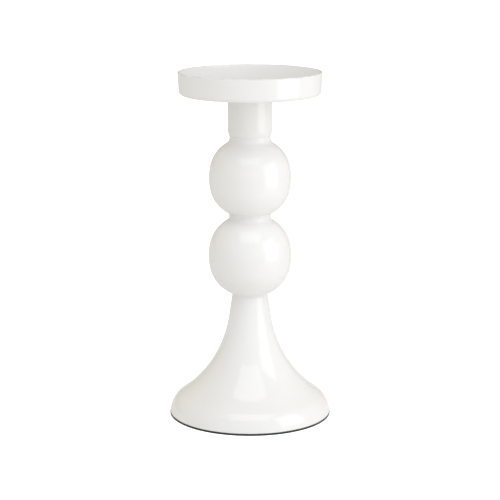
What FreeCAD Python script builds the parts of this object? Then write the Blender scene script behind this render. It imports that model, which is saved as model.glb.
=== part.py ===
"""Stand for one pillar candle: a turned, lacquered wooden column on a flared foot, with a thin metal
dish on top. A tie rod through the middle clamps the turned pieces between the dish and the foot.

Frame: millimetres, +Z up along the axis of the column, origin at the middle of the felt's underside.
Every sub-part is drawn in its own frame, with its underside at height 0, and is lifted by its Placement.
"""

import FreeCAD, Part
import math
import os
import Sketcher

DIMENSIONS = (
    # alias, value in millimetres or degrees, what it measures
    ("felt_radius", 65.8, "felt disc, a little wider than the foot it covers"),
    ("felt_thickness", 1.5, "felt disc"),
    ("base_height", 97.5, "foot, from the felt to the seat of the lower ball"),
    ("foot_radius", 65.4, "foot at its lower edge"),
    ("foot_lean", 10.0, "lean of the foot's upright edge, from the vertical"),
    ("foot_edge_height", 3.3, "straight stretch of the foot's upright edge"),
    ("shoulder_radius", 18.4, "arc from the foot's edge into the flare"),
    ("flare_radius", 96.0, "hollow arc of the trumpet"),
    ("cone_lean", 8.6, "lean of the trumpet's straight top, from the vertical"),
    ("cone_top_radius", 14.5, "foot at its top, and the seat of the lower ball"),
    ("belly_radius", 48.0, "arc round the widest part of both balls"),
    ("belly_half_height", 9.6, "half the height of that arc"),
    ("cove_radius", 3.5, "hollow arc where a ball runs out upwards into its collar"),
    ("quirk_radius", 1.5, "the tighter hollow arc under the upper ball"),
    ("lower_ball_height", 64.6, "lower ball between its two seats"),
    ("lower_ball_middle", 32.4, "its widest part above its lower seat"),
    ("lower_ball_radius", 33.5, "its widest part"),
    ("lower_ball_corner", 29.3, "arc between its belly and its upper cove"),
    ("waist_radius", 16.85, "seat between the two balls"),
    ("upper_ball_height", 64.9, "upper ball between its two seats"),
    ("upper_ball_middle", 31.4, "its widest part above its lower seat"),
    ("upper_ball_radius", 33.0, "its widest part"),
    ("upper_ball_corner", 27.4, "arcs above and below its belly"),
    ("collar_radius", 16.5, "seat between the upper ball and the neck"),
    ("neck_height", 33.1, "neck, from the upper ball to the dish"),
    ("neck_radius", 17.8, "neck"),
    ("neck_rounding", 12.2, "arc under the neck's lower edge"),
    ("dish_height", 18.4, "dish, outside"),
    ("dish_foot_radius", 56.6, "dish at its underside, before the corner is rounded"),
    ("dish_rim_radius", 57.5, "dish at its lip"),
    ("dish_wall", 1.5, "sheet that the dish is spun from"),
    ("dish_corner", 3.6, "outside arc between the dish's floor and wall"),
    ("edge_break", 0.2, "broken edges where two turned pieces meet"),
    ("bore_radius", 4.5, "bore for the tie rod through every turned piece"),
    ("spigot_radius", 7.5, "spigot that centres the next piece"),
    ("spigot_height", 8.0, "spigot"),
    ("socket_radius", 7.6, "socket over a spigot"),
    ("socket_depth", 8.6, "socket over a spigot"),
    ("counterbore_radius", 14.0, "recess for the nut under the foot"),
    ("counterbore_depth", 22.75, "recess for the nut under the foot"),
    ("boss_recess_radius", 8.3, "recess for the dish's boss in the neck"),
    ("boss_recess_depth", 12.5, "recess for the dish's boss in the neck"),
    ("boss_radius", 7.5, "threaded boss under the dish"),
    ("boss_height", 11.6, "threaded boss under the dish"),
    ("rod_radius", 3.95, "tie rod, M8, over its threads"),
    ("rod_length", 251.85, "tie rod"),
    ("rod_lower_thread", 20.0, "threaded length at the foot"),
    ("rod_upper_thread", 12.5, "threaded length at the dish"),
    ("rod_gap", 1.0, "between the tie rod's top and the dish"),
    ("thread_pitch", 1.25, "M8 coarse thread"),
    ("thread_bore", 3.35, "crests of the inside threads"),
    ("thread_depth_radius", 4.03, "roots of the inside threads"),
    ("washer_radius", 12.0, "wide washer, outside"),
    ("washer_bore", 4.2, "wide washer and spring washer, inside"),
    ("washer_thickness", 2.0, "wide washer"),
    ("spring_washer_radius", 7.4, "spring washer, outside"),
    ("spring_washer_thickness", 2.0, "spring washer, clamped flat"),
    ("spring_washer_gap", 1.4, "slit in the spring washer"),
    ("nut_across_flats", 13.0, "M8 nut"),
    ("nut_height", 6.5, "M8 nut"),
    ("hardware_chamfer", 0.6, "ends of the tie rod and mouths of the threads"),
    ("overcut", 0.5, "how far a cutting shape reaches past the faces that it cuts"),
    ("thread_overcut", 0.05, "the same for a thread's groove, whose turns must stay apart"),
)
SAME_PLACE = 0.01  # millimetres: two edges closer than this are the same edge

doc = FreeCAD.newDocument("candle_stand")
dims = doc.addObject("Spreadsheet::Sheet", "dims")
for row, (alias, size, meaning) in enumerate(DIMENSIONS, 1):
    dims.set(f"A{row}", meaning)
    dims.set(f"B{row}", str(size))
    dims.setAlias(f"B{row}", alias)
doc.recompute()

# Heights of the seats above the felt's underside, from the bottom of the stack to its top.
BASE_AT = "dims.felt_thickness"
LOWER_BALL_AT = BASE_AT + " + dims.base_height"
UPPER_BALL_AT = LOWER_BALL_AT + " + dims.lower_ball_height"
NECK_AT = UPPER_BALL_AT + " + dims.upper_ball_height"
DISH_AT = NECK_AT + " + dims.neck_height"
# The boss hangs from the dish, and the washers and the nut hang from the roof of the counterbore.
# The nut, the rod and the boss all stand at whole pitches of the thread, so that their threads mesh.
BOSS_AT = DISH_AT + " - dims.boss_height"
ROD_AT = DISH_AT + " - dims.rod_gap - dims.rod_length"
WASHER_AT = BASE_AT + " + dims.counterbore_depth - dims.washer_thickness"
SPRING_WASHER_AT = WASHER_AT + " - dims.spring_washer_thickness"
NUT_AT = SPRING_WASHER_AT + " - dims.nut_height"


def value(expression):
    """The number that an expression over the sheet comes to."""
    return float(dims.evalExpression(expression))


def new_body(label, height="0"):
    """An empty body whose own frame stands at the given height on the axis."""
    body = doc.addObject("PartDesign::Body", label)
    body.Label = label
    body.setExpression("Placement.Base.z", height)
    return body


def origin_plane(body, role):
    """One of the body's own three origin planes."""
    return next(o for o in body.Origin.OriginFeatures if o.Role == role)


class Outline:
    """A closed outline of lines and arcs, walked with the solid on the left.

    Places are pairs of expressions. On the XZ plane they are a radius and a height. A place given as
    near is only a rough start for the solver: tangents, radii and the other places decide the real one.
    """

    def __init__(self, body, name, start, plane="XZ_Plane"):
        self.sketch = body.newObject("Sketcher::SketchObject", name)
        self.sketch.AttachmentSupport = [(origin_plane(body, plane), "")]
        self.sketch.MapMode = "FlatFace"
        self.start = start
        self.here = self.point(start)
        self.last = None
        self.first = None

    def point(self, place):
        return FreeCAD.Vector(value(place[0]), value(place[1]), 0)

    def constrain(self, kind, *where, size=None):
        """Adds a constraint, and binds its size to an expression if it has one."""
        if size is None:
            return self.sketch.addConstraint(Sketcher.Constraint(kind, *where))
        index = self.sketch.addConstraint(Sketcher.Constraint(kind, *where, value(size)))
        self.sketch.setExpression(f"Constraints[{index}]", size)
        return index

    def hold(self, end, place):
        """Dimensions one end of an edge from the origin. A coordinate of None is left free."""
        for kind, axis, coordinate in (("DistanceX", -2, place[0]), ("DistanceY", -1, place[1])):
            if coordinate is None:
                continue
            if coordinate == "0":
                self.constrain("PointOnObject", *end, axis)
            else:
                self.constrain(kind, -1, 1, *end, size=coordinate)

    def add(self, geometry, end, smooth, at):
        """Adds an edge from the present place, joined to the last edge by a corner or smoothly."""
        index = self.sketch.addGeometry(geometry)
        drawn = self.sketch.Geometry[index]
        to_start, to_end = (p.distanceToPoint(self.here) for p in (drawn.StartPoint, drawn.EndPoint))
        backwards = to_start > to_end
        near, far = ((index, 2), (index, 1)) if backwards else ((index, 1), (index, 2))
        if self.last is None:
            self.first = near
            self.hold(near, self.start)
        else:
            self.constrain("Tangent" if smooth else "Coincident", *self.last, *near)
        if at:
            self.hold(far, at)
        self.last = far
        self.here = end
        return index

    def line(self, at=None, near=None, smooth=False, along=None, lean=None):
        """A straight edge to a dimensioned place, or to one that its neighbours decide."""
        end = self.point(near or at)
        index = self.add(Part.LineSegment(self.here, end), end, smooth, at)
        if along:
            self.constrain(along, index)
        if lean:
            angle = Sketcher.Constraint("Angle", index, math.radians(90 + value(lean)))
            self.sketch.setExpression(f"Constraints[{self.sketch.addConstraint(angle)}]", f"90 + {lean}")
        return index

    def arc(self, bend, size, radius=None, at=None, near=None, smooth=False):
        """An arc of about the given size that bends left (bulging out) or right (hollow)."""
        end = self.point(near or at)
        first, last = (self.here, end) if bend == "left" else (end, self.here)
        chord = last - first
        rough = max(value(size), 0.51 * chord.Length)  # an arc can't be smaller than half its chord
        inwards = FreeCAD.Vector(-chord.y, chord.x, 0).normalize()
        centre = first + chord * 0.5 + inwards * math.sqrt(rough**2 - (chord.Length / 2) ** 2)
        angles = [math.atan2(p.y - centre.y, p.x - centre.x) for p in (first, last)]
        if angles[1] < angles[0]:
            angles[1] += 2 * math.pi
        round_edge = Part.Circle(centre, FreeCAD.Vector(0, 0, 1), rough)
        index = self.add(Part.ArcOfCircle(round_edge, *angles), end, smooth, at)
        if radius:
            self.constrain("Radius", index, size=radius)
        return index

    def close(self):
        """A straight edge back to the start."""
        end = self.point(self.start)
        index = self.sketch.addGeometry(Part.LineSegment(self.here, end))
        self.constrain("Coincident", *self.last, index, 1)
        self.constrain("Coincident", index, 2, *self.first)
        return self.sketch


def turn(body, sketch):
    """Revolves a closed outline about the body's upright axis."""
    feature = body.newObject("PartDesign::Revolution", body.Label + "_turned")
    feature.Profile = (sketch, [""])
    feature.ReferenceAxis = (sketch, ["V_Axis"])
    feature.Angle = 360
    doc.recompute()
    return feature


def circle(body, name, radii):
    """A sketch of circles about the axis, on the body's ground plane."""
    sketch = body.newObject("Sketcher::SketchObject", name)
    sketch.AttachmentSupport = [(origin_plane(body, "XY_Plane"), "")]
    sketch.MapMode = "FlatFace"
    for radius in radii:
        ring = Part.Circle(FreeCAD.Vector(0, 0, 0), FreeCAD.Vector(0, 0, 1), value(radius))
        index = sketch.addGeometry(ring)
        sketch.addConstraint(Sketcher.Constraint("Coincident", index, 3, -1, 1))
        size = sketch.addConstraint(Sketcher.Constraint("Radius", index, value(radius)))
        sketch.setExpression(f"Constraints[{size}]", radius)
    return sketch


def pad(body, sketch, height):
    """Raises a sketch from the body's ground plane."""
    feature = body.newObject("PartDesign::Pad", body.Label + "_pad")
    feature.Profile = (sketch, [""])
    feature.setExpression("Length", height)
    doc.recompute()
    return feature


def break_edges(body, size, *places):
    """Chamfers the circular edges that lie at the given radii and heights."""
    base = body.Tip
    wanted = [(value(radius), value(height)) for radius, height in places]
    names = []
    for number, edge in enumerate(base.Shape.Edges, 1):
        if not isinstance(edge.Curve, Part.Circle):
            continue
        found = edge.Curve.Radius, edge.Curve.Center.z
        if any(math.dist(found, place) < SAME_PLACE for place in wanted):
            names.append(f"Edge{number}")
    if len(names) != len(wanted):
        raise RuntimeError(f"{body.Label}: found {len(names)} of {len(wanted)} edges to break")
    feature = body.newObject("PartDesign::Chamfer", body.Label + "_edges")
    feature.Base = (base, names)
    feature.setExpression("Size", size)
    doc.recompute()
    return feature


def cut_thread(body, name, narrow, flat, wide, first, height):
    """Cuts a right-hand 60 degree thread: a groove, flat at its narrow radius, wound up the axis."""
    slope = f"tan(30 deg) * abs({wide} - {narrow})"
    groove = Outline(body, name + "_groove", (narrow, f"{first} - {flat} / 2"))
    groove.line(at=(wide, f"{first} - {flat} / 2 - {slope}"))
    groove.line(at=(wide, f"{first} + {flat} / 2 + {slope}"))
    groove.line(at=(narrow, f"{first} + {flat} / 2"))
    sketch = groove.close()
    before = body.Tip.Shape.Volume
    feature = body.newObject("PartDesign::SubtractiveHelix", name)
    feature.Profile = (sketch, [""])
    feature.ReferenceAxis = (sketch, ["V_Axis"])
    feature.Mode = "pitch-height-angle"
    feature.setExpression("Pitch", "dims.thread_pitch")
    feature.setExpression("Height", height)
    doc.recompute()
    if feature.Shape.Volume > before - 1:
        raise RuntimeError(f"{body.Label}: the thread {name} cut nothing")


def cut_inside_thread(body, height):
    """Threads a bore from end to end. Its grooves stand at whole pitches, and the rod's between them."""
    cut_thread(
        body,
        body.Label + "_thread",
        narrow="dims.thread_depth_radius",
        flat="dims.thread_pitch / 8",
        wide="(dims.thread_bore - dims.thread_overcut)",
        first="-dims.thread_pitch",
        height=f"{height} + 2 * dims.thread_pitch",
    )


def make_felt_pad():
    """The disc that the stand rests on, which also hides the nut."""
    body = new_body("felt_pad")
    pad(body, circle(body, "felt_disc", ["dims.felt_radius"]), "dims.felt_thickness")
    return body


def make_base():
    """The trumpet-shaped foot, bored for the tie rod and recessed from below for the nut."""
    body = new_body("base", BASE_AT)
    top = "dims.base_height"
    spigot_top = "dims.base_height + dims.spigot_height"
    o = Outline(body, "base_section", ("dims.counterbore_radius", "0"))
    o.line(at=("dims.foot_radius", "0"))
    o.line(
        at=(None, "dims.foot_edge_height"),
        near=("dims.foot_radius", "dims.foot_edge_height"),
        lean="dims.foot_lean",
    )
    o.arc(
        "left",
        "dims.shoulder_radius",
        radius="dims.shoulder_radius",
        near=("0.875 * dims.foot_radius", "0.155 * dims.base_height"),
        smooth=True,
    )
    o.arc(
        "right",
        "dims.flare_radius",
        radius="dims.flare_radius",
        near=("1.2 * dims.cone_top_radius", "0.8 * dims.base_height"),
        smooth=True,
    )
    o.line(at=("dims.cone_top_radius", top), smooth=True, lean="dims.cone_lean")
    o.line(at=("dims.spigot_radius", top))
    o.line(at=("dims.spigot_radius", spigot_top))
    o.line(at=("dims.bore_radius", spigot_top))
    o.line(at=("dims.bore_radius", "dims.counterbore_depth"))
    o.line(at=("dims.counterbore_radius", "dims.counterbore_depth"))
    turn(body, o.close())
    break_edges(
        body,
        "dims.edge_break",
        ("dims.foot_radius", "0"),
        ("dims.cone_top_radius", top),
        ("dims.spigot_radius", spigot_top),
    )
    return body


def start_ball(body, name):
    """The socket side of a ball's section, up to the outer edge of its lower seat."""
    o = Outline(body, name + "_section", ("dims.bore_radius", "dims.socket_depth"))
    o.line(at=("dims.socket_radius", "dims.socket_depth"))
    o.line(at=("dims.socket_radius", "0"))
    return o


def add_belly(o, name):
    """The belly arc, level with the ball's middle and as wide as the ball there."""
    radius, middle = f"dims.{name}_radius", f"dims.{name}_middle"
    index = o.arc(
        "left",
        "dims.belly_radius",
        radius="dims.belly_radius",
        at=(None, f"{middle} + dims.belly_half_height"),
        near=(f"{radius} - 1", f"{middle} + dims.belly_half_height"),
        smooth=True,
    )
    o.constrain("DistanceX", index, 3, -1, 1, size=f"dims.belly_radius - {radius}")
    o.constrain("DistanceY", -1, 1, index, 3, size=middle)


def add_upper_cove(o, name, seat):
    """From the belly's upper end: the corner arc, the cove and the upright collar to the seat."""
    corner, cove, height = f"dims.{name}_corner", "dims.cove_radius", f"dims.{name}_height"
    corner_end = f"{seat} + {cove} / 2", f"{height} - 2 * {cove}"
    o.arc("left", corner, radius=corner, near=corner_end, smooth=True)
    o.arc("right", cove, radius=cove, near=(seat, f"{height} - {cove}"), smooth=True)
    o.line(at=(seat, height), smooth=True, along="Vertical")


def finish_ball(o, body, name, lower_seat, upper_seat):
    """The spigot and the bore, then the turned solid with its edges broken."""
    height = f"dims.{name}_height"
    spigot_top = f"{height} + dims.spigot_height"
    o.line(at=("dims.spigot_radius", height))
    o.line(at=("dims.spigot_radius", spigot_top))
    o.line(at=("dims.bore_radius", spigot_top))
    turn(body, o.close())
    break_edges(
        body,
        "dims.edge_break",
        (lower_seat, "0"),
        (upper_seat, height),
        ("dims.spigot_radius", spigot_top),
    )


def make_lower_ball():
    """The ball on the foot: its underside runs straight down to the foot's top, with no cove."""
    body = new_body("lower_ball", LOWER_BALL_AT)
    o = start_ball(body, "lower_ball")
    o.line(at=("dims.cone_top_radius", "0"))
    o.arc(
        "left",
        "dims.lower_ball_corner",
        at=(None, "dims.lower_ball_middle - dims.belly_half_height"),
        near=("dims.lower_ball_radius - 1", "dims.lower_ball_middle - dims.belly_half_height"),
    )
    add_belly(o, "lower_ball")
    add_upper_cove(o, "lower_ball", "dims.waist_radius")
    finish_ball(o, body, "lower_ball", "dims.cone_top_radius", "dims.waist_radius")
    return body


def make_upper_ball():
    """The upper ball: a quirk under it, and a cove and a collar on top."""
    body = new_body("upper_ball", UPPER_BALL_AT)
    o = start_ball(body, "upper_ball")
    o.line(at=("dims.waist_radius", "0"))
    o.line(near=("dims.waist_radius", "dims.quirk_radius / 4"), along="Vertical")
    o.arc(
        "right",
        "dims.quirk_radius",
        radius="dims.quirk_radius",
        near=("dims.waist_radius + dims.quirk_radius / 2", "dims.quirk_radius"),
        smooth=True,
    )
    o.arc(
        "left",
        "dims.upper_ball_corner",
        radius="dims.upper_ball_corner",
        at=(None, "dims.upper_ball_middle - dims.belly_half_height"),
        near=("dims.upper_ball_radius - 1", "dims.upper_ball_middle - dims.belly_half_height"),
        smooth=True,
    )
    add_belly(o, "upper_ball")
    add_upper_cove(o, "upper_ball", "dims.collar_radius")
    finish_ball(o, body, "upper_ball", "dims.waist_radius", "dims.collar_radius")
    return body


def make_neck():
    """The plain cylinder under the dish, rounded in below, with a recess above for the boss."""
    body = new_body("neck", NECK_AT)
    top = "dims.neck_height"
    recess_floor = "dims.neck_height - dims.boss_recess_depth"
    o = Outline(body, "neck_section", ("dims.bore_radius", "dims.socket_depth"))
    o.line(at=("dims.socket_radius", "dims.socket_depth"))
    o.line(at=("dims.socket_radius", "0"))
    o.line(at=("dims.collar_radius", "0"))
    o.arc(
        "left",
        "dims.neck_rounding",
        radius="dims.neck_rounding",
        near=("dims.neck_radius", "0.5 * dims.neck_rounding"),
    )
    o.line(at=("dims.neck_radius", top), smooth=True, along="Vertical")
    o.line(at=("dims.boss_recess_radius", top))
    o.line(at=("dims.boss_recess_radius", recess_floor))
    o.line(at=("dims.bore_radius", recess_floor))
    turn(body, o.close())
    break_edges(
        body,
        "dims.edge_break",
        ("dims.collar_radius", "0"),
        ("dims.neck_radius", top),
    )
    return body


def make_candle_dish():
    """The spun dish: one even sheet with a flat floor, a rounded corner and a rounded lip."""
    body = new_body("candle_dish", DISH_AT)
    lip_radius, lip_height = "dims.dish_wall / 2", "dims.dish_height - dims.dish_wall / 2"
    inner_corner = "dims.dish_corner - dims.dish_wall"
    o = Outline(body, "dish_section", ("0", "0"))
    o.line(at=("dims.dish_foot_radius - dims.dish_corner", "0"))
    o.arc(
        "left",
        "dims.dish_corner",
        radius="dims.dish_corner",
        near=("dims.dish_foot_radius", "dims.dish_corner"),
        smooth=True,
    )
    outside = o.line(
        at=("dims.dish_rim_radius", None),
        near=("dims.dish_rim_radius", lip_height),
        smooth=True,
    )
    lip = o.arc(
        "left",
        lip_radius,
        radius=lip_radius,
        near=("dims.dish_rim_radius - dims.dish_wall", lip_height),
        smooth=True,
    )
    o.constrain("DistanceY", -1, 1, lip, 3, size=lip_height)
    inside = o.line(
        near=("dims.dish_foot_radius - dims.dish_wall", "dims.dish_corner"),
        smooth=True,
    )
    o.constrain("Parallel", outside, inside)
    o.arc(
        "right",
        inner_corner,
        radius=inner_corner,
        near=("dims.dish_foot_radius - dims.dish_corner", "dims.dish_wall"),
        smooth=True,
    )
    o.line(at=("0", "dims.dish_wall"), smooth=True, along="Horizontal")
    turn(body, o.close())
    return body


def make_dish_boss():
    """The threaded boss that is welded under the middle of the dish."""
    body = new_body("dish_boss", BOSS_AT)
    pad(body, circle(body, "boss_ring", ["dims.boss_radius", "dims.thread_bore"]), "dims.boss_height")
    break_edges(
        body,
        "dims.hardware_chamfer",
        ("dims.boss_radius", "0"),
        ("dims.thread_bore", "0"),
    )
    cut_inside_thread(body, "dims.boss_height")
    return body


def make_tie_rod():
    """The rod that holds the stand together, plain in the middle and threaded at both ends."""
    body = new_body("tie_rod", ROD_AT)
    pad(body, circle(body, "rod_round", ["dims.rod_radius"]), "dims.rod_length")
    break_edges(
        body,
        "dims.hardware_chamfer",
        ("dims.rod_radius", "0"),
        ("dims.rod_radius", "dims.rod_length"),
    )
    pitch = "dims.thread_pitch"
    root_flat = f"{pitch} / 4"
    crest_gap = f"{pitch} * 7 / 8"
    root = f"(dims.rod_radius - ({crest_gap} - {root_flat}) / (2 * tan(30 deg)))"
    plain_pitches = f"floor((dims.rod_length - dims.rod_upper_thread) / {pitch})"
    ends = (
        ("lower_thread", f"-{pitch} / 2", f"dims.rod_lower_thread + {pitch}"),
        ("upper_thread", f"({plain_pitches} + 0.5) * {pitch}", f"dims.rod_upper_thread + 2 * {pitch}"),
    )
    for name, first, height in ends:
        cut_thread(body, name, root, root_flat, "(dims.rod_radius + dims.thread_overcut)", first, height)
    return body


def make_clamp_washer():
    """The wide washer that keeps the clamp from sinking into the wood."""
    body = new_body("clamp_washer", WASHER_AT)
    ring = circle(body, "washer_ring", ["dims.washer_radius", "dims.washer_bore"])
    pad(body, ring, "dims.washer_thickness")
    return body


def make_spring_washer():
    """A split ring, clamped flat, with its slit cut on the slant."""
    body = new_body("spring_washer", SPRING_WASHER_AT)
    ring = circle(body, "spring_ring", ["dims.spring_washer_radius", "dims.washer_bore"])
    solid = pad(body, ring, "dims.spring_washer_thickness")
    gap = "dims.spring_washer_gap"
    top = "dims.spring_washer_thickness + dims.overcut"
    slit = Outline(body, "slit_shape", (f"-{gap}", "-dims.overcut"), plane="YZ_Plane")
    slit.line(at=("0", "-dims.overcut"))
    slit.line(at=(gap, top))
    slit.line(at=("0", top))
    pocket = body.newObject("PartDesign::Pocket", "slit")
    pocket.Profile = (slit.close(), [""])
    pocket.setExpression("Length", "dims.spring_washer_radius + dims.overcut")
    pocket.Reversed = True
    doc.recompute()
    if pocket.Shape.Volume > solid.Shape.Volume - 1:
        raise RuntimeError("spring_washer: the slit cut nothing")
    return body


def make_hex_nut():
    """The nut under the foot, its corners turned off at 30 degrees on both faces."""
    body = new_body("hex_nut", NUT_AT)
    corner = "dims.nut_across_flats / sqrt(3)"
    corners = [(f"{corner} * cos({60 * k} deg)", f"{corner} * sin({60 * k} deg)") for k in range(6)]
    corners[0] = (corner, "0")
    corners[3] = ("-" + corner, "0")
    hexagon = Outline(body, "nut_hexagon", corners[0], plane="XY_Plane")
    for place in corners[1:]:
        hexagon.line(at=place)
    pad(body, hexagon.close(), "dims.nut_height")
    flat = "dims.nut_across_flats / 2"
    wide = f"({corner} + dims.overcut)"
    drop = f"({wide} - {flat}) * tan(30 deg)"
    faces = (
        ("upper", "dims.nut_height", f"dims.nut_height - {drop}", "dims.nut_height + dims.overcut"),
        ("lower", "0", drop, "-dims.overcut"),
    )
    for name, face, low, beyond in faces:
        cutter = Outline(body, name + "_corner_cut", (flat, face))
        cutter.line(at=(wide, low))
        cutter.line(at=(wide, beyond))
        cutter.line(at=(flat, beyond))
        before = body.Tip.Shape.Volume
        groove = body.newObject("PartDesign::Groove", name + "_corners")
        sketch = cutter.close()
        groove.Profile = (sketch, [""])
        groove.ReferenceAxis = (sketch, ["V_Axis"])
        groove.Angle = 360
        doc.recompute()
        if groove.Shape.Volume > before - 1:
            raise RuntimeError(f"hex_nut: the {name} corners were not cut")
    bore = body.newObject("PartDesign::Pocket", "nut_bore")
    bore.Profile = (circle(body, "nut_bore_round", ["dims.thread_bore"]), [""])
    bore.setExpression("Length", "dims.nut_height + dims.overcut")
    bore.Reversed = True
    doc.recompute()
    cut_inside_thread(body, "dims.nut_height")
    return body


def check(sub_parts):
    """Stops if any object of the document failed, or if a sub-part isn't one valid solid."""
    doc.recompute()
    for thing in doc.Objects:
        if "Invalid" in thing.State or "Error" in thing.State:
            raise RuntimeError(f"{thing.Label} failed: {thing.State}")
    for part in sub_parts:
        shape = part.Shape
        if shape.isNull() or not shape.isValid() or len(shape.Solids) != 1:
            raise RuntimeError(f"{part.Label} isn't one valid solid")
        print(part.Label, round(shape.Volume / 1000, 3), "cm3")


parts = [
    make_felt_pad(),
    make_base(),
    make_lower_ball(),
    make_upper_ball(),
    make_neck(),
    make_candle_dish(),
    make_dish_boss(),
    make_tie_rod(),
    make_clamp_washer(),
    make_spring_washer(),
    make_hex_nut(),
]
check(parts)
os.makedirs("parts", exist_ok=True)
for part in parts:
    part.Shape.exportStep(f"parts/{part.Label}.step")
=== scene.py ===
"""Looks of the white pillar-candle stand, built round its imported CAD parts. Metres, +Z up.

The felt and the five lacquered pieces are turned here again as fine meshes, to the radii and heights of
their CAD solids. The real stand is sprayed after it is assembled, so the lacquer fills the broken edges
between the pieces and leaves a soft hollow at each joint. The steel parts inside stay as packed.
"""

import math

import bmesh
import bpy
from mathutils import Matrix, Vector, noise


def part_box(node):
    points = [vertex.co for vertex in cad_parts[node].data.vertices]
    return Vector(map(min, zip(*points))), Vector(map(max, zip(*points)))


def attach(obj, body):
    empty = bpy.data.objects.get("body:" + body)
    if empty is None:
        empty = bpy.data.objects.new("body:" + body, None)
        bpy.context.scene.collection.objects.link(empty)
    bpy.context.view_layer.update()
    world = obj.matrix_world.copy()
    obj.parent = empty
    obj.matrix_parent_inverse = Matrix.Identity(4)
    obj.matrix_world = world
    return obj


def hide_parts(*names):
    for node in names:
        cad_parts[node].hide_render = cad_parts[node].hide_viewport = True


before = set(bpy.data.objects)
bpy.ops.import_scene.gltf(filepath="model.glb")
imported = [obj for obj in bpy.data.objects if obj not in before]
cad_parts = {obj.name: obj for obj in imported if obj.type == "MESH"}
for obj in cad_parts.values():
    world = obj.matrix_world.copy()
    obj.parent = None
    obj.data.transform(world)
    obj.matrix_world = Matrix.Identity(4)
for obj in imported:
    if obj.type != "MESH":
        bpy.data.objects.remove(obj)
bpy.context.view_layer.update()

MM = 0.001

# Radii, leans and arcs of the turned pieces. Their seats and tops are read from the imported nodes.
FOOT_RADIUS = 65.4 * MM
FOOT_LEAN = math.radians(10)
FOOT_EDGE_HEIGHT = 3.3 * MM
SHOULDER_RADIUS = 18.4 * MM
FLARE_RADIUS = 96 * MM
CONE_LEAN = math.radians(8.6)
CONE_TOP_RADIUS = 14.5 * MM
BELLY_RADIUS = 48 * MM
BELLY_HALF_HEIGHT = 9.6 * MM
WAIST_COVE = 3.5 * MM
WAIST_QUIRK = 3.9 * MM
COLLAR_COVE = 5 * MM
NECK_QUIRK = 1.5 * MM
LOWER_BALL_MIDDLE = 32.4 * MM
LOWER_BALL_RADIUS = 33.5 * MM
LOWER_BALL_CORNER = 29.3 * MM
WAIST_RADIUS = 16.85 * MM
UPPER_BALL_MIDDLE = 31.4 * MM
UPPER_BALL_RADIUS = 33 * MM
UPPER_BALL_CORNER = 27.4 * MM
COLLAR_RADIUS = 16.5 * MM
NECK_RADIUS = 17.8 * MM
NECK_ROUNDING = 12.2 * MM
DISH_FOOT_RADIUS = 56.6 * MM
DISH_RIM_RADIUS = 57.5 * MM
DISH_WALL = 1.5 * MM
DISH_CORNER = 3.6 * MM
BORE_RADIUS = 4.5 * MM
SPIGOT_RADIUS = 7.5 * MM
SOCKET_RADIUS = 7.6 * MM
SOCKET_DEPTH = 8.6 * MM
COUNTERBORE_RADIUS = 14 * MM
BOSS_RECESS_RADIUS = 8.3 * MM
BOSS_RECESS_DEPTH = 12.5 * MM

# What the lacquer adds: rounded arrises, filled creases, a slight sink over each joint and its surface.
ARRIS_RADIUS = 0.5 * MM
CREASE_RADIUS = 2.4 * MM
JOINT_SINK = 0.03 * MM
JOINT_SINK_WIDTH = 0.5 * MM
PEEL_DEPTH = 0.0025 * MM  # orange peel
RIPPLE_DEPTH = 0.012 * MM  # slow ripples where the wet lacquer ran together
GRAIN_DEPTH = 0.003 * MM  # the wood's grain, felt through the lacquer
GLOSS = 0.03  # roughness of the clean lacquer
HAZE = 0.03  # how much rougher it is where it is hazy
SHEEN = 0.7  # how much it mirrors, where 0.5 is plain varnish
EDGE_WEAR = 0.3  # the largest share of the lacquer that is worn off a sharp edge
WORN_FROM, WORN_FULL = 500, 1500  # how sharp an edge is where its wear begins and where it is full
DUST_SHADE_FROM, DUST_SHADE_FULL = -200, -900  # and the same for dust in a crease, which is also painted shade in the crease, in radians per metre
LEAST_DUST_SHADE, MOST_DUST_SHADE = 0.05, 0.15  # how much dust and painted crease shade covers, from the cleanest to the densest patches
DULLING = 0.5  # how much rougher full wear or dust makes the lacquer

# What the hand and the tools leave: waves, which fade out beside a seat, and the felt's tufts.
HAND_WAVE = 0.04 * MM
HAND_WAVE_LENGTH = 24 * MM
TOOL_WAVE = 0.012 * MM
TOOL_WAVE_LENGTH = 5 * MM
CALM_HEIGHT = 4 * MM
SPUN_WAVE = 0.03 * MM
SPUN_WAVE_LENGTH = 6 * MM
SPUN_CALM = 6 * MM
FELT_INSET = 0.2 * MM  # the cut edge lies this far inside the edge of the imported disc
FELT_ARRIS = 0.15 * MM
FELT_FUZZ = 0.05 * MM
FELT_TUFT = 0.9 * MM
FELT_SEED = 1  # noise_vector starts from the clock without a seed

WHITE = (0.86, 0.858, 0.849)
WARM_WHITE = (0.85, 0.844, 0.827)
PRIMER = (0.62, 0.58, 0.52)
STEEL_UNDER = (0.42, 0.41, 0.39)
# the colour of dust in the creases, which also paints the shade that falls in them
DUST_AND_SHADE = (0.50, 0.46, 0.41)
WOOD_DARK, WOOD_LIGHT, WOOD_PORE = (0.46, 0.33, 0.21), (0.62, 0.48, 0.33), (0.27, 0.18, 0.11)
ZINC_BLUE, ZINC_STRAW, ZINC_DULL = (0.60, 0.62, 0.66), (0.67, 0.65, 0.58), (0.42, 0.42, 0.41)
FELT_DARK, FELT_GREEN, FELT_MATTED = (0.006, 0.013, 0.012), (0.018, 0.031, 0.028), (0.034, 0.047, 0.043)

# Fineness of the meshes.
SEGMENTS = 240
SKIN_STEP = 0.7 * MM
INSIDE_STEP = 4 * MM
FLOOR_STEP = 2 * MM
FELT_STEP = 0.12 * MM
MAX_TURN = math.radians(6)  # of an arc, from one of its points to the next
SHARP_TURN = math.radians(35)  # a sharper edge is not shaded smooth
ON_AXIS = 0.01 * MM  # a point nearer to the axis than this lies on it
BELLY_ANGLE = math.asin(BELLY_HALF_HEIGHT / BELLY_RADIUS)
BEND = "bend"  # the vertex attribute that tells the lacquer where a piece is sharp or hollow

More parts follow.
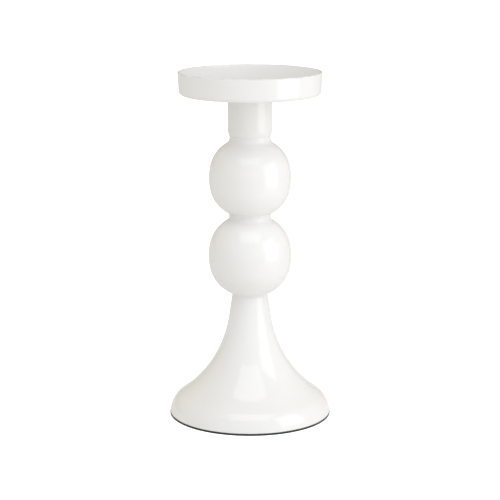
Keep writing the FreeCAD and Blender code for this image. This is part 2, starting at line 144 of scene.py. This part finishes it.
CAMERA_PLACE = (0.0, -1.3449, 0.425)
CAMERA_PITCH = math.radians(12.14)  # below the horizon
CAMERA_LENS = 122.63  # millimetres
CAMERA_SENSOR = 36  # its width in millimetres
STUDIO_CENTRE = Vector((0, 0, 0.15))
PURE_WHITE = (1.0, 1.0, 1.0)
FLOOR_REACH = 30  # metres
FLOOR_COLOR = (0.88, 0.88, 0.88)
FLOOR_GLOW = 0.05  # what lights the stand
FLOOR_GLOW_SEEN = 0.8  # what the camera sees
BRIGHT_SIDE = 25  # degrees to the right of the camera
LOW_LIGHT = 0.78  # the walls near the floor, halfway between the bright and the dark side
LOW_CONTRAST = 0.26  # how much brighter the bright side is than halfway
HIGH_LIGHT = 0.74  # the same two above
HIGH_CONTRAST = 0.05
LOW_TOP, HIGH_FOOT = 0.0, 0.7  # where the low light ends and the high light begins, as sines of elevation
WARM_SIDE_COLOR = (1.06, 0.99, 0.85)
BRIGHT_SIDE_COLOR = (0.975, 0.995, 1.035)


# ---------------------------------------------------------------------------------- sections

def at(radius, height):
    """A place in a piece's section."""
    return Vector((radius, height))


def outwards(lean):
    """The direction square to a wall that leans in towards the axis by this angle."""
    return Vector((math.cos(lean), math.sin(lean)))


def angle_of(centre, place):
    """The direction from one place to another."""
    return math.atan2(place.y - centre.y, place.x - centre.x)


def arc(centre, radius, start, end, step=SKIN_STEP):
    """Points round part of a circle, from one angle to another, both ends included."""
    sweep = end - start
    steps = math.ceil(max(abs(sweep) * radius / step, abs(sweep) / MAX_TURN, 1))
    return [centre + radius * outwards(start + sweep * i / steps) for i in range(steps + 1)]


def line(start, end, step=SKIN_STEP):
    """Points along a straight stretch, both ends included."""
    steps = math.ceil(max((end - start).length / step, 1))
    return [start.lerp(end, i / steps) for i in range(steps + 1)]


def path(corners):
    """Points along the straight stretches between hidden corners, without the first and the last."""
    points = []
    for start, end in zip(corners, corners[1:]):
        points += line(start, end, INSIDE_STEP)[1:]
    return points[:-1]


def hollow_centre(radius, wall, lean, circle, circle_radius, above):
    """Centre of a hollow arc that touches a leaning wall and, from outside, a circle.

    The circle is above the arc, or else below it.
    """
    up = Vector((-math.sin(lean), math.cos(lean)))
    reach = wall + radius * outwards(lean) - circle
    along = -reach.dot(up)
    spread = math.sqrt(along**2 - reach.length_squared + (circle_radius + radius) ** 2)
    return circle + reach + up * (along + (spread if above else -spread))


def seat(node):
    """The height at which a node stands on the one below it."""
    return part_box(node)[0].z


def top(node):
    """The height of a node's top, its spigot included."""
    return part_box(node)[1].z


# ------------------------------------------------------------------------------------ turning

def smooth_step(low, high, value):
    """0 below low, 1 above high, and a soft ramp between them."""
    share = min(max((value - low) / (high - low), 0), 1)
    return share * share * (3 - 2 * share)


def bends(points):
    """How sharply a section bends at each of its points, in radians per metre, hollow bends below 0."""
    found = [0.0] * len(points)
    for i in range(1, len(points) - 1):
        before, after = points[i] - points[i - 1], points[i + 1] - points[i]
        found[i] = -2 * before.angle_signed(after, 0) / (before.length + after.length)
    return found


def no_offset(place):
    """For surfaces that are left as true as they were cut."""
    return Vector()


def hand_finish(low, high):
    """The offset of sanded and lacquered wood between two seats.

    It has faint waves, which fade out beside the seats, and the lacquer's slight sink over them.
    """

    def offset(place):
        calm = smooth_step(0, CALM_HEIGHT, place.z - low) * smooth_step(0, CALM_HEIGHT, high - place.z)
        hand = HAND_WAVE * noise.noise(place / HAND_WAVE_LENGTH)
        rings = TOOL_WAVE * noise.noise(Vector((0, 0, place.z / TOOL_WAVE_LENGTH)))
        sink = sum(math.exp(-(((place.z - joint) / JOINT_SINK_WIDTH) ** 2)) for joint in (low, high))
        spoke = Vector((place.x, place.y, 0)).normalized()
        return spoke * (calm * (hand + rings) - JOINT_SINK * sink)

    return offset


def ring(build, point, offset):
    """One turn of vertices about the axis. On the axis it is one vertex that stands for them all."""
    if point.x < ON_AXIS:
        return [build.verts.new((0, 0, point.y))] * SEGMENTS
    verts = []
    for i in range(SEGMENTS):
        angle = math.tau * i / SEGMENTS
        place = Vector((point.x * math.cos(angle), point.x * math.sin(angle), point.y))
        verts.append(build.verts.new(place + offset(place)))
    return verts


def turn(name, skin, inside=(), offset=no_offset):
    """Turns a section about the axis. Faces along skin take the first material, the others the second."""
    points = [*skin, *inside]
    offsets = [offset] * len(skin) + [no_offset] * len(inside)
    sharpness = bends(skin) + [0.0] * len(inside)
    build = bmesh.new()
    bend_layer = build.verts.layers.float.new(BEND)
    rings = [ring(build, *pair) for pair in zip(points, offsets)]
    for verts, sharp in zip(rings, sharpness):
        for vert in verts:
            vert[bend_layer] = sharp
    next_rings = rings[1:] + (rings[:1] if inside else [])
    for i, (lower, upper) in enumerate(zip(rings, next_rings)):
        for k in range(SEGMENTS):
            corners = (lower[k - 1], lower[k], upper[k], upper[k - 1])
            face = build.faces.new(dict.fromkeys(corners))  # a triangle where a ring is one vertex
            face.smooth = True
            face.material_index = 0 if i < len(skin) - 1 else 1
    bmesh.ops.recalc_face_normals(build, faces=build.faces)
    mesh = bpy.data.meshes.new(name)
    build.to_mesh(mesh)
    build.free()
    mesh.set_sharp_from_angle(angle=SHARP_TURN)
    piece = bpy.data.objects.new(name, mesh)
    bpy.context.scene.collection.objects.link(piece)
    return piece


def stand_in(piece, node, slot, *materials):
    """Lets a piece stand for a CAD node, with its materials."""
    for material in materials:
        piece.data.materials.append(material)
    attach(piece, "root")
    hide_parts(node)


# ------------------------------------------------------------------------------------- pieces

def make_base(lacquer, bare_wood):
    """The trumpet-shaped foot, with its bore and the recess for the nut."""
    floor, joint = seat("base"), seat("lower_ball")
    arris = at(FOOT_RADIUS - ARRIS_RADIUS, floor + ARRIS_RADIUS)
    edge_top = at(FOOT_RADIUS - FOOT_EDGE_HEIGHT * math.tan(FOOT_LEAN), floor + FOOT_EDGE_HEIGHT)
    shoulder = edge_top - SHOULDER_RADIUS * outwards(FOOT_LEAN)
    cone_top = at(CONE_TOP_RADIUS, joint)
    flare = hollow_centre(FLARE_RADIUS, cone_top, CONE_LEAN, shoulder, SHOULDER_RADIUS, above=True)
    shoulder_end = angle_of(shoulder, flare)
    skin = arc(arris, ARRIS_RADIUS, -math.pi / 2, 0)
    skin += line(skin.pop(), edge_top)
    skin += arc(shoulder, SHOULDER_RADIUS, FOOT_LEAN, shoulder_end)[1:]
    skin += arc(flare, FLARE_RADIUS, math.pi + shoulder_end, math.pi + CONE_LEAN)[1:]
    skin += line(skin.pop(), cone_top)
    roof = top("clamp_washer")
    corners = [
        cone_top,
        at(SPIGOT_RADIUS, joint),
        at(SPIGOT_RADIUS, top("base")),
        at(BORE_RADIUS, top("base")),
        at(BORE_RADIUS, roof),
        at(COUNTERBORE_RADIUS, roof),
        at(COUNTERBORE_RADIUS, floor),
        skin[0],
    ]
    piece = turn("turned_base", skin, path(corners), hand_finish(floor, joint))
    stand_in(piece, "base", "lacquered_wood", lacquer, bare_wood)


def ball_inside(first, last, joint, spigot_top):
    """A ball's hidden faces: its upper seat and spigot, its bore, and the socket and seat below."""
    corners = [
        last,
        at(SPIGOT_RADIUS, last.y),
        at(SPIGOT_RADIUS, spigot_top),
        at(BORE_RADIUS, spigot_top),
        at(BORE_RADIUS, joint + SOCKET_DEPTH),
        at(SOCKET_RADIUS, joint + SOCKET_DEPTH),
        at(SOCKET_RADIUS, joint),
        first,
    ]
    return path(corners)


def corner_centres(belly, corner_radius):
    """Centres of the arcs below and above a ball's belly arc."""
    aside = (BELLY_RADIUS - corner_radius) * outwards(BELLY_ANGLE)
    return belly + Vector((aside.x, -aside.y)), belly + aside


def ball_top(belly, corner_radius, collar, cove_radius):
    """A ball from its widest part up to its upper seat: belly, corner, cove and collar."""
    upper = corner_centres(belly, corner_radius)[1]
    cove = hollow_centre(cove_radius, collar, 0, upper, corner_radius, above=True)
    cove_start = angle_of(upper, cove)
    points = arc(belly, BELLY_RADIUS, 0, BELLY_ANGLE)
    points += arc(upper, corner_radius, BELLY_ANGLE, cove_start)[1:]
    points += arc(cove, cove_radius, math.pi + cove_start, math.pi)[1:]
    points += line(points.pop(), collar)
    return points


def make_lower_ball(lacquer, bare_wood):
    """The ball on the foot, its crease with the cone filled by the lacquer.

    Its underside keeps the corner arc of the ball, so by the crease it lies up to 1.1 mm inside the
    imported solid, whose underside is another arc.
    """
    joint, waist = seat("lower_ball"), seat("upper_ball")
    belly = at(LOWER_BALL_RADIUS - BELLY_RADIUS, joint + LOWER_BALL_MIDDLE)
    lower = corner_centres(belly, LOWER_BALL_CORNER)[0]
    cone_top, collar = at(CONE_TOP_RADIUS, joint), at(WAIST_RADIUS, waist)
    crease = hollow_centre(CREASE_RADIUS, cone_top, CONE_LEAN, lower, LOWER_BALL_CORNER, above=False)
    crease_end = angle_of(lower, crease)
    skin = line(cone_top, crease - CREASE_RADIUS * outwards(CONE_LEAN))
    skin += arc(crease, CREASE_RADIUS, math.pi + CONE_LEAN, math.pi + crease_end)[1:]
    skin += arc(lower, LOWER_BALL_CORNER, crease_end, -BELLY_ANGLE)[1:]
    skin += arc(belly, BELLY_RADIUS, -BELLY_ANGLE, 0)[1:]
    skin += ball_top(belly, LOWER_BALL_CORNER, collar, WAIST_COVE)[1:]
    inside = ball_inside(cone_top, collar, joint, top("lower_ball"))
    piece = turn("turned_lower_ball", skin, inside, hand_finish(joint, waist))
    stand_in(piece, "lower_ball", "lacquered_wood", lacquer, bare_wood)


def make_upper_ball(lacquer, bare_wood):
    """The upper ball: a quirk under it, and a cove and a collar on top."""
    waist, joint = seat("upper_ball"), seat("neck")
    belly = at(UPPER_BALL_RADIUS - BELLY_RADIUS, waist + UPPER_BALL_MIDDLE)
    lower = corner_centres(belly, UPPER_BALL_CORNER)[0]
    foot, collar = at(WAIST_RADIUS, waist), at(COLLAR_RADIUS, joint)
    quirk = hollow_centre(WAIST_QUIRK, foot, 0, lower, UPPER_BALL_CORNER, above=False)
    quirk_end = angle_of(lower, quirk)
    skin = line(foot, quirk - at(WAIST_QUIRK, 0))
    skin += arc(quirk, WAIST_QUIRK, math.pi, math.pi + quirk_end)[1:]
    skin += arc(lower, UPPER_BALL_CORNER, quirk_end, -BELLY_ANGLE)[1:]
    skin += arc(belly, BELLY_RADIUS, -BELLY_ANGLE, 0)[1:]
    skin += ball_top(belly, UPPER_BALL_CORNER, collar, COLLAR_COVE)[1:]
    inside = ball_inside(foot, collar, waist, top("upper_ball"))
    piece = turn("turned_upper_ball", skin, inside, hand_finish(waist, joint))
    stand_in(piece, "upper_ball", "lacquered_wood", lacquer, bare_wood)


def make_neck(lacquer, bare_wood):
    """The plain cylinder under the dish, its lower edge rounded in to the collar of the upper ball."""
    joint, dish = seat("neck"), seat("candle_dish")
    collar, quirk = at(COLLAR_RADIUS, joint), at(COLLAR_RADIUS + NECK_QUIRK, joint)
    across = quirk.x - (NECK_RADIUS - NECK_ROUNDING)
    rise = math.sqrt((NECK_ROUNDING + NECK_QUIRK) ** 2 - across**2)
    rounding = at(NECK_RADIUS - NECK_ROUNDING, joint + rise)
    quirk_end = angle_of(rounding, quirk)
    skin = arc(quirk, NECK_QUIRK, math.pi, math.pi + quirk_end)
    skin += arc(rounding, NECK_ROUNDING, quirk_end, 0)[1:]
    skin += line(skin.pop(), at(NECK_RADIUS, dish))
    corners = [
        skin[-1],
        at(BOSS_RECESS_RADIUS, dish),
        at(BOSS_RECESS_RADIUS, dish - BOSS_RECESS_DEPTH),
        at(BORE_RADIUS, dish - BOSS_RECESS_DEPTH),
        at(BORE_RADIUS, joint + SOCKET_DEPTH),
        at(SOCKET_RADIUS, joint + SOCKET_DEPTH),
        at(SOCKET_RADIUS, joint),
        collar,
    ]
    piece = turn("turned_neck", skin, path(corners), hand_finish(joint, dish))
    stand_in(piece, "neck", "lacquered_wood", lacquer, bare_wood)


def make_dish(lacquer):
    """The spun dish: one even sheet with a flat floor, a rounded corner and a rounded lip."""
    under, lip_top = seat("candle_dish"), top("candle_dish")
    lip_radius = DISH_WALL / 2
    corner = at(DISH_FOOT_RADIUS - DISH_CORNER, under + DISH_CORNER)
    lip = at(DISH_RIM_RADIUS - lip_radius, lip_top - lip_radius)
    spread = math.acos((DISH_CORNER - lip_radius) / (lip - corner).length)
    lean = angle_of(corner, lip) - spread  # below 0, because the wall leans out
    skin = line(at(0, under), at(corner.x, under), FLOOR_STEP)
    skin += arc(corner, DISH_CORNER, -math.pi / 2, lean)[1:]
    skin += line(skin.pop(), lip + lip_radius * outwards(lean))
    skin += arc(lip, lip_radius, lean, math.pi + lean)[1:]
    skin += line(skin.pop(), corner + (DISH_CORNER - DISH_WALL) * outwards(lean))
    skin += arc(corner, DISH_CORNER - DISH_WALL, lean, -math.pi / 2)[1:]
    skin += line(skin.pop(), at(0, under + DISH_WALL), FLOOR_STEP)
    piece = turn("spun_dish", skin, offset=spun_finish)
    stand_in(piece, "candle_dish", "lacquered_metal", lacquer)


def spun_finish(place):
    """The offset of spun sheet: faint steps left by the roller, from the middle to the lip."""
    radius = math.hypot(place.x, place.y)
    calm = smooth_step(0, SPUN_CALM, radius - NECK_RADIUS)
    return Vector((0, 0, calm * SPUN_WAVE * noise.noise(Vector((radius / SPUN_WAVE_LENGTH, 0, 0)))))


def woolly(place):
    """The offset of the felt's surface: small tufts."""
    return FELT_FUZZ * noise.noise_vector(place / FELT_TUFT)


def make_felt(felt):
    """The felt disc: soft arrises and a woolly surface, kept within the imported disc's height and edge."""
    noise.seed_set(FELT_SEED)
    low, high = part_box("felt_pad")
    radius, under, upper = high.x - FELT_INSET, low.z + FELT_FUZZ, high.z - FELT_FUZZ
    edge = radius - FELT_ARRIS
    skin = line(at(0, under), at(edge, under), FLOOR_STEP)
    skin += arc(at(edge, under + FELT_ARRIS), FELT_ARRIS, -math.pi / 2, 0, FELT_STEP)[1:]
    skin += line(skin.pop(), at(radius, upper - FELT_ARRIS), FELT_STEP)
    skin += arc(at(edge, upper - FELT_ARRIS), FELT_ARRIS, 0, math.pi / 2, FELT_STEP)[1:]
    skin += line(skin.pop(), at(0, upper), FLOOR_STEP)
    piece = turn("felt_disc", skin, offset=woolly)
    stand_in(piece, "felt_pad", "felt", felt)


# ---------------------------------------------------------------------------------- materials

class Nodes:
    """The node tree of a material or of the world, with short calls for the nodes used here."""

    def __init__(self, owner):
        owner.use_nodes = True
        self.owner = owner
        self.tree = owner.node_tree

    def put(self, socket, value):
        """Sets an input to a number or a colour, or links it to another node's output."""
        if isinstance(value, bpy.types.NodeSocket):
            self.tree.links.new(value, socket)
        elif isinstance(value, tuple) and socket.type == "RGBA":
            socket.default_value = (*value, 1)
        else:
            socket.default_value = value

    def node(self, kind, inputs, output=0, **settings):
        """A new node with its settings and inputs, and the output that is wanted of it."""
        made = self.tree.nodes.new(kind)
        for setting, value in settings.items():
            setattr(made, setting, value)
        for socket, value in inputs.items():
            self.put(made.inputs[socket], value)
        return made.outputs[output]

    def noise(self, size, detail=2.0, rough=0.5, stretch=None):
        """Noise whose features have about this size in metres, stretched along an axis if asked."""
        place = self.node("ShaderNodeTexCoord", {}, output="Object")
        if stretch:
            place = self.node("ShaderNodeVectorMath", {0: place, 1: stretch}, operation="MULTIPLY")
        inputs = {"Vector": place, "Scale": 1 / size, "Detail": detail, "Roughness": rough}
        return self.node("ShaderNodeTexNoise", inputs)

    def ramp(self, value, low, high, to_low=0.0, to_high=1.0):
        """A value carried softly from one range to another, and held at its ends."""
        inputs = {"Value": value, "From Min": low, "From Max": high, "To Min": to_low, "To Max": to_high}
        return self.node("ShaderNodeMapRange", inputs, interpolation_type="SMOOTHSTEP")

    def math(self, operation, first, second):
        """Arithmetic on two numbers."""
        return self.node("ShaderNodeMath", {0: first, 1: second}, operation=operation)

    def mix(self, share, first, second):
        """A colour between two others."""
        inputs = {0: share, 6: first, 7: second}  # 6 and 7 are its colour inputs, 2 its colour output
        return self.node("ShaderNodeMix", inputs, output=2, data_type="RGBA")

    def bump(self, height, depth, under=None):
        """The surface's relief: a height from 0 to 1, and its depth in metres."""
        inputs = {"Height": height, "Distance": depth, "Strength": 1.0}
        if under:
            inputs["Normal"] = under
        return self.node("ShaderNodeBump", inputs)

    def bend(self):
        """How sharply the piece's section bends here."""
        return self.node("ShaderNodeAttribute", {}, output="Fac", attribute_name=BEND)

    def finish(self, color, roughness, normal=None, **others):
        """Fills in a material's shader and gives the material back."""
        shader = self.tree.nodes["Principled BSDF"]
        self.put(shader.inputs["Base Color"], color)
        self.put(shader.inputs["Roughness"], roughness)
        if normal:
            self.put(shader.inputs["Normal"], normal)
        for name, value in others.items():
            self.put(shader.inputs[name], value)
        return self.owner


def new_material(name):
    """The nodes of a new material."""
    return Nodes(bpy.data.materials.new(name))


def make_lacquer(name, ripple_depth, under_color, grain):
    """Sprayed white gloss lacquer: orange peel, slow ripples, worn arrises, and dust with painted shade in
    the creases.
    """
    nodes = new_material(name)
    bend = nodes.bend()
    patchy = nodes.ramp(nodes.noise(9 * MM, detail=4), 0.35, 0.65)
    rubbed = nodes.math("MULTIPLY", patchy, EDGE_WEAR)
    worn = nodes.math("MULTIPLY", nodes.ramp(bend, WORN_FROM, WORN_FULL), rubbed)
    settled_dust_and_shade = nodes.ramp(patchy, 0, 1, LEAST_DUST_SHADE, MOST_DUST_SHADE)
    # dust in the hollow bends, which also paints the creases darker as painted shade
    dust_and_shade = nodes.math("MULTIPLY", nodes.ramp(bend, DUST_SHADE_FROM, DUST_SHADE_FULL), settled_dust_and_shade)
    color = nodes.mix(nodes.ramp(nodes.noise(60 * MM), 0.3, 0.7), WHITE, WARM_WHITE)
    color = nodes.mix(worn, color, under_color)
    color = nodes.mix(dust_and_shade, color, DUST_AND_SHADE)
    hazy = nodes.ramp(nodes.noise(18 * MM, detail=5, rough=0.65), 0.35, 0.75, GLOSS, GLOSS + HAZE)
    dulled = nodes.math("MULTIPLY", nodes.math("ADD", worn, dust_and_shade), DULLING)
    roughness = nodes.math("ADD", hazy, dulled)
    relief = nodes.bump(nodes.noise(7 * MM, detail=1), ripple_depth)
    relief = nodes.bump(nodes.noise(1.3 * MM, detail=2), PEEL_DEPTH, relief)
    if grain:
        streaks = nodes.noise(1.6 * MM, detail=3, stretch=(1, 1, 0.06))
        relief = nodes.bump(streaks, GRAIN_DEPTH, relief)
    return nodes.finish(color, roughness, relief, **{"Specular IOR Level": SHEEN})


def make_bare_wood():
    """Unfinished hardwood in the bores and seats: streaks along the axis and fine pores."""
    nodes = new_material("bare_hardwood")
    streaks = nodes.noise(2.5 * MM, detail=6, rough=0.6, stretch=(1, 1, 0.08))
    pores = nodes.ramp(nodes.noise(0.5 * MM, detail=2, stretch=(1, 1, 0.1)), 0.62, 0.7)
    color = nodes.mix(streaks, WOOD_DARK, WOOD_LIGHT)
    color = nodes.mix(pores, color, WOOD_PORE)
    relief = nodes.bump(nodes.math("SUBTRACT", streaks, pores), 0.05 * MM)
    return nodes.finish(color, nodes.ramp(streaks, 0.3, 0.7, 0.6, 0.75), relief)


def make_zinc():
    """Bright zinc plate: blue and straw tints, fine turning lines and dull spots."""
    nodes = new_material("bright_zinc_plate")
    tint = nodes.ramp(nodes.noise(12 * MM, detail=3), 0.35, 0.65)
    spots = nodes.ramp(nodes.noise(2 * MM, detail=5, rough=0.7), 0.55, 0.7)
    lines = nodes.noise(0.35 * MM, detail=2, stretch=(0.05, 0.05, 1))
    color = nodes.mix(tint, ZINC_BLUE, ZINC_STRAW)
    color = nodes.mix(nodes.math("MULTIPLY", spots, 0.4), color, ZINC_DULL)
    roughness = nodes.math("ADD", nodes.ramp(spots, 0, 1, 0.22, 0.45), nodes.math("MULTIPLY", lines, 0.1))
    return nodes.finish(color, roughness, nodes.bump(lines, 0.01 * MM), Metallic=1.0)


def make_felt_cloth():
    """Pressed wool felt: matted fibres in dark green-greys with a breath of sheen."""
    nodes = new_material("wool_felt")
    fibres = nodes.noise(0.25 * MM, detail=5, rough=0.75)
    mats = nodes.noise(3 * MM, detail=4, rough=0.6)
    color = nodes.mix(nodes.ramp(fibres, 0.3, 0.7), FELT_DARK, FELT_GREEN)
    matted = nodes.math("MULTIPLY", nodes.ramp(mats, 0.45, 0.7), 0.35)
    color = nodes.mix(matted, color, FELT_MATTED)
    relief = nodes.bump(nodes.math("ADD", fibres, mats), 0.2 * MM)
    return nodes.finish(color, nodes.ramp(fibres, 0.3, 0.7, 0.85, 0.98), relief, **{"Sheen Weight": 0.3})


# ------------------------------------------------------------------------------ camera, studio

def add_camera():
    """The photograph's viewing angle: a little above the stand, with a long lens."""
    camera = bpy.data.objects.new("camera", bpy.data.cameras.new("camera"))
    bpy.context.scene.collection.objects.link(camera)
    camera.location = CAMERA_PLACE
    camera.rotation_euler = (math.pi / 2 - CAMERA_PITCH, 0, 0)
    camera.data.lens = CAMERA_LENS
    camera.data.sensor_width = CAMERA_SENSOR
    bpy.context.scene.camera = camera


def direction(azimuth, elevation):
    """A direction from the stand. Azimuth 0 is towards the camera and 90 to its right."""
    around, above = math.radians(azimuth), math.radians(elevation)
    level = math.cos(above)
    return Vector((math.sin(around) * level, -math.cos(around) * level, math.sin(above)))


def add_softbox(name, azimuth, elevation, distance, width, height, radiance):
    """A rectangular light that faces the stand. Angles are in degrees and sizes in metres."""
    light = bpy.data.objects.new(name, bpy.data.lights.new(name, "AREA"))
    bpy.context.scene.collection.objects.link(light)
    light.data.shape = "RECTANGLE"
    light.data.size = width
    light.data.size_y = height
    light.data.energy = radiance * math.pi * width * height
    light.location = STUDIO_CENTRE + direction(azimuth, elevation) * distance
    light.rotation_euler = (STUDIO_CENTRE - light.location).to_track_quat("-Z", "Y").to_euler()
    light.visible_camera = False


def add_floor():
    """A wide pale sheet, which shows white to the camera as on a light table."""
    mesh = bpy.data.meshes.new("floor")
    build = bmesh.new()
    bmesh.ops.create_circle(build, cap_ends=True, segments=128, radius=FLOOR_REACH)
    build.to_mesh(mesh)
    build.free()
    floor = bpy.data.objects.new("floor", mesh)
    bpy.context.scene.collection.objects.link(floor)
    nodes = new_material("floor_sheet")
    seen = nodes.node("ShaderNodeLightPath", {}, output="Is Camera Ray")
    glow = nodes.ramp(seen, 0, 1, FLOOR_GLOW, FLOOR_GLOW_SEEN)
    glowing = {"Emission Color": PURE_WHITE, "Emission Strength": glow, "Specular IOR Level": 0.0}
    mesh.materials.append(nodes.finish(FLOOR_COLOR, 0.9, **glowing))


def add_world():
    """The studio's walls: nearly even above, and near the floor bright on one side and dim on the other.

    The dim side is warm. The camera sees them all white, as it does the floor.
    """
    world = bpy.data.worlds.new("studio")
    bpy.context.scene.world = world
    nodes = Nodes(world)
    towards = nodes.node("ShaderNodeTexCoord", {}, output="Generated")
    bright_way = {0: towards, 1: direction(BRIGHT_SIDE, 0)}
    side = nodes.node("ShaderNodeVectorMath", bright_way, output="Value", operation="DOT_PRODUCT")
    height = nodes.node("ShaderNodeSeparateXYZ", {0: towards}, output="Z")
    light = nodes.node("ShaderNodeMapRange", {
        "Value": nodes.ramp(height, LOW_TOP, HIGH_FOOT),
        "To Min": nodes.math("ADD", LOW_LIGHT, nodes.math("MULTIPLY", side, LOW_CONTRAST)),
        "To Max": nodes.math("ADD", HIGH_LIGHT, nodes.math("MULTIPLY", side, HIGH_CONTRAST)),
    })
    color = nodes.mix(nodes.ramp(side, -0.8, 0.8), WARM_SIDE_COLOR, BRIGHT_SIDE_COLOR)
    seen = nodes.node("ShaderNodeLightPath", {}, output="Is Camera Ray")
    background = nodes.tree.nodes["Background"]
    nodes.put(background.inputs["Color"], nodes.mix(seen, color, PURE_WHITE))
    nodes.put(background.inputs["Strength"], nodes.math("MAXIMUM", light, seen))


add_camera()
add_world()
add_floor()
add_softbox("main_softbox", azimuth=61, elevation=12, distance=0.5, width=0.36, height=0.46, radiance=1.17)
add_softbox("top_softbox", azimuth=0, elevation=58, distance=0.9, width=0.85, height=0.6, radiance=0.98)

wood_lacquer = make_lacquer("white_lacquer_on_wood", RIPPLE_DEPTH, PRIMER, grain=True)
metal_lacquer = make_lacquer("white_lacquer_on_metal", RIPPLE_DEPTH / 2, STEEL_UNDER, grain=False)
bare_wood = make_bare_wood()
make_base(wood_lacquer, bare_wood)
make_lower_ball(wood_lacquer, bare_wood)
make_upper_ball(wood_lacquer, bare_wood)
make_neck(wood_lacquer, bare_wood)
make_dish(metal_lacquer)
make_felt(make_felt_cloth())
zinc = make_zinc()
for node in ("dish_boss", "tie_rod", "clamp_washer", "spring_washer", "hex_nut"):
    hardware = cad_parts[node]
    hardware.material_slots[0].material = zinc

bpy.context.scene.view_settings.view_transform = "Standard"
